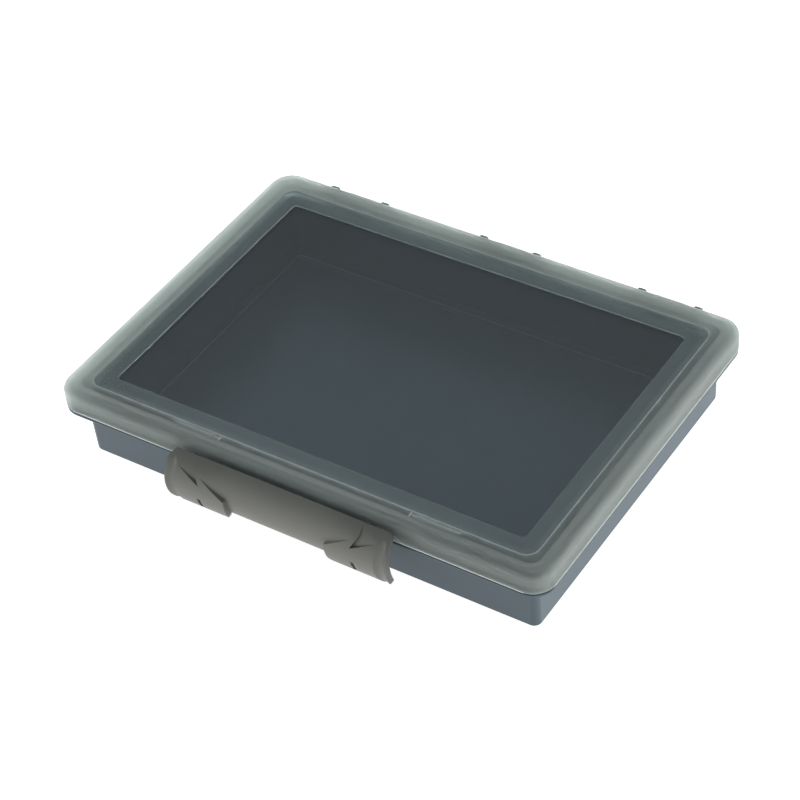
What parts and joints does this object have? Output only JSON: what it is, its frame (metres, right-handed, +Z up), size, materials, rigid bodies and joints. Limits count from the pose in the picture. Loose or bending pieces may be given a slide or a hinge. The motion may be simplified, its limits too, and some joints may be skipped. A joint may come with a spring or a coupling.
{
  "type": "compartment organizer box",
  "caption": "Low rectangular storage box with a clear hinged lid, rounded frosted rim and a sliding front latch that is also the handle.",
  "frame": {"origin": "on the table under the middle of the case outline, lid and latch shut", "axes": "+X to the right seen from the front, -Y to the front (the latch), +Z up"},
  "size_m": [0.338, 0.268, 0.057],
  "materials": {
    "tray_plastic": "moulded, satin, dark blue-grey",
    "lid_clear": "clear glossy window, finely frosted rim",
    "latch_plastic": "moulded, satin, warm grey",
    "pin_steel": "drawn wire"
  },
  "bodies": {
    "case": {"tray": "tray_plastic", "hinge_pin_left": "pin_steel", "hinge_pin_middle": "pin_steel", "hinge_pin_right": "pin_steel"},
    "lid": {"lid": "lid_clear"},
    "latch": {"latch": "latch_plastic"}
  },
  "joints": [
    {"name": "lid_hinge", "type": "hinge", "parent": "case", "child": "lid", "pos_m": [0, 0.127, 0.0465], "axis": [-1, 0, 0], "range_deg": [0, 110]},
    {"name": "latch_slide", "type": "slide", "parent": "case", "child": "latch", "axis": [1, 0, 0], "range_m": [0, 0.023]}
  ]
}
